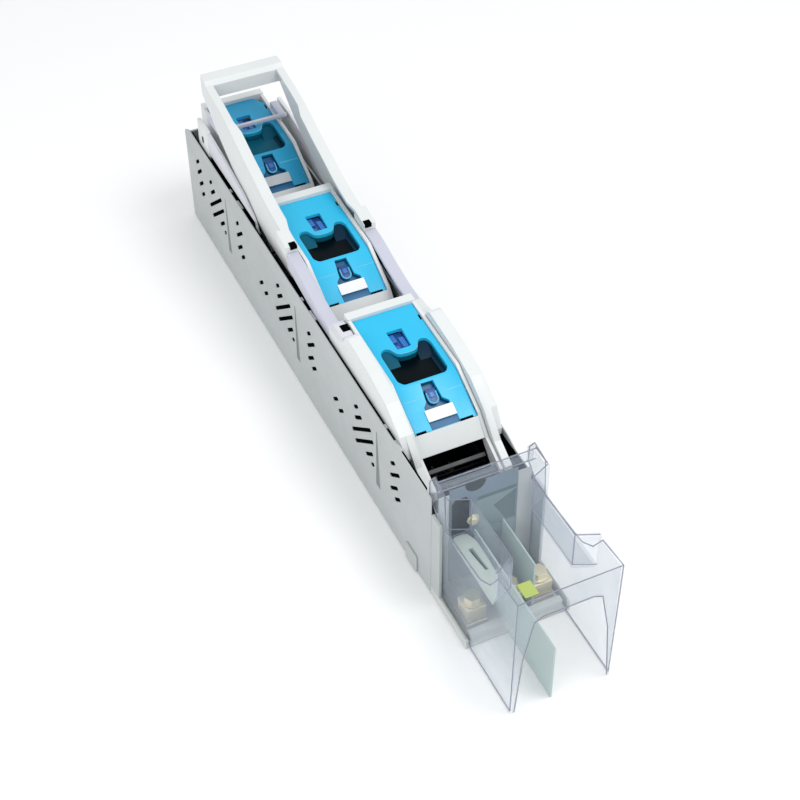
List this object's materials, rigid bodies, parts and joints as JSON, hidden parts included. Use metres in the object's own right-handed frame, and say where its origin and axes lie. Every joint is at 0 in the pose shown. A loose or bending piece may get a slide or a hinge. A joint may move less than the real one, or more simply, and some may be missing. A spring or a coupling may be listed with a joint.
{
  "type": "vertical fuse switch strip",
  "caption": "Vertical cartridge fuse holder with tilting window carriers, a linked operating lever, vented side walls and a clear cable terminal cover.",
  "frame": {"origin": "under the middle of the whole strip, on the plane that its back rests on", "axes": "+X across the strip, +Y along it from the cable terminals to the busbar end, +Z out of its front"},
  "size_m": [0.103, 0.736, 0.203],
  "materials": {
    "housing_grey": "fine moulded texture",
    "black_liner": "matt",
    "silver_contact": "satin silver plate",
    "tinned_copper": "satin tin plate",
    "brass": "satin",
    "zinc_steel": "satin zinc plate",
    "barrier_grey": "smooth",
    "lever_white": "satin moulded",
    "link_grey": "satin moulded",
    "cover_blue": "satin moulded",
    "port_blue": "satin moulded",
    "dark_pane": "polished, smoky",
    "label_white": "smooth",
    "clear_plastic": "polished, clear",
    "marker_green": "smooth"
  },
  "bodies": {
    "housing": {"base_plate": "housing_grey", "side_wall_left": "housing_grey", "side_wall_right": "housing_grey", "phase_partition_1": "housing_grey", "phase_partition_2": "housing_grey", "terminal_trough": "housing_grey", "cover_guide_left": "housing_grey", "cover_guide_right": "housing_grey", "load_bulkhead": "black_liner", "contact_well_1": "black_liner", "contact_well_2": "black_liner", "contact_well_3": "black_liner", "line_jaw_1": "silver_contact", "line_jaw_2": "silver_contact", "line_jaw_3": "silver_contact", "load_jaw_1": "silver_contact", "load_jaw_2": "silver_contact", "load_jaw_3": "silver_contact", "load_bar_1": "tinned_copper", "load_bar_2": "tinned_copper", "load_bar_3": "tinned_copper", "terminal_clamp_1": "brass", "terminal_clamp_2": "brass", "terminal_clamp_3": "brass", "terminal_bolt_1": "zinc_steel", "terminal_bolt_2": "zinc_steel", "terminal_bolt_3": "zinc_steel", "carrier_axle_1": "zinc_steel", "carrier_axle_2": "zinc_steel", "carrier_axle_3": "zinc_steel", "phase_barrier_left": "barrier_grey", "phase_barrier_right": "barrier_grey"},
    "lever": {"handle_frame": "lever_white", "lever_link_left": "link_grey", "lever_link_right": "link_grey", "lever_cheek_left": "lever_white", "lever_cheek_right": "lever_white"},
    "carrier_1": {"carrier_frame_1": "lever_white", "carrier_cover_1": "cover_blue", "window_pane_1": "dark_pane", "fuse_hook_1": "port_blue", "label_plate_1": "label_white", "carrier_clip_1": "link_grey"},
    "latch_1": {"release_latch_1": "port_blue"},
    "carrier_2": {"carrier_frame_2": "lever_white", "carrier_cover_2": "cover_blue", "window_pane_2": "dark_pane", "fuse_hook_2": "port_blue", "label_plate_2": "label_white"},
    "latch_2": {"release_latch_2": "port_blue"},
    "carrier_3": {"carrier_frame_3": "lever_white", "carrier_cover_3": "cover_blue", "window_pane_3": "dark_pane", "fuse_hook_3": "port_blue", "label_plate_3": "label_white"},
    "latch_3": {"release_latch_3": "port_blue"},
    "tie": {"tie_bar_left": "zinc_steel", "tie_bar_right": "zinc_steel"},
    "end_cover": {"terminal_cover": "clear_plastic", "cover_marker": "marker_green"}
  },
  "joints": [
    {"name": "lever_hinge", "type": "hinge", "parent": "housing", "child": "lever", "pos_m": [0, -0.191, 0.084], "axis": [1, 0, 0], "range_deg": [0, 45]},
    {"name": "carrier_1_hinge", "type": "hinge", "parent": "housing", "child": "carrier_1", "pos_m": [0, 0.179, 0.084], "axis": [1, 0, 0], "range_deg": [0, 45]},
    {"name": "carrier_2_hinge", "type": "hinge", "parent": "housing", "child": "carrier_2", "pos_m": [0, -0.006, 0.084], "axis": [1, 0, 0], "range_deg": [0, 45]},
    {"name": "carrier_3_hinge", "type": "hinge", "parent": "housing", "child": "carrier_3", "pos_m": [0, -0.191, 0.084], "axis": [1, 0, 0], "range_deg": [0, 45]},
    {"name": "tie_hinge", "type": "hinge", "parent": "carrier_3", "child": "tie", "pos_m": [0, -0.116, 0.114], "axis": [1, 0, 0], "range_deg": [-45, 0]},
    {"name": "latch_1_slide", "type": "slide", "parent": "carrier_1", "child": "latch_1", "axis": [0, -0.8961, -0.4438], "range_m": [0, 0.003], "stiffness_N_per_m": 400},
    {"name": "latch_2_slide", "type": "slide", "parent": "carrier_2", "child": "latch_2", "axis": [0, -0.8961, -0.4438], "range_m": [0, 0.003], "stiffness_N_per_m": 400},
    {"name": "latch_3_slide", "type": "slide", "parent": "carrier_3", "child": "latch_3", "axis": [0, -0.8961, -0.4438], "range_m": [0, 0.003], "stiffness_N_per_m": 400},
    {"name": "end_cover_slide", "type": "slide", "parent": "housing", "child": "end_cover", "axis": [0, -1, 0], "range_m": [0, 0.05]}
  ],
  "couplings": [
    {"joint": "carrier_1_hinge", "follows": "lever_hinge", "ratio": 1},
    {"joint": "carrier_2_hinge", "follows": "lever_hinge", "ratio": 1},
    {"joint": "carrier_3_hinge", "follows": "lever_hinge", "ratio": 1},
    {"joint": "tie_hinge", "follows": "lever_hinge", "ratio": -1}
  ]
}
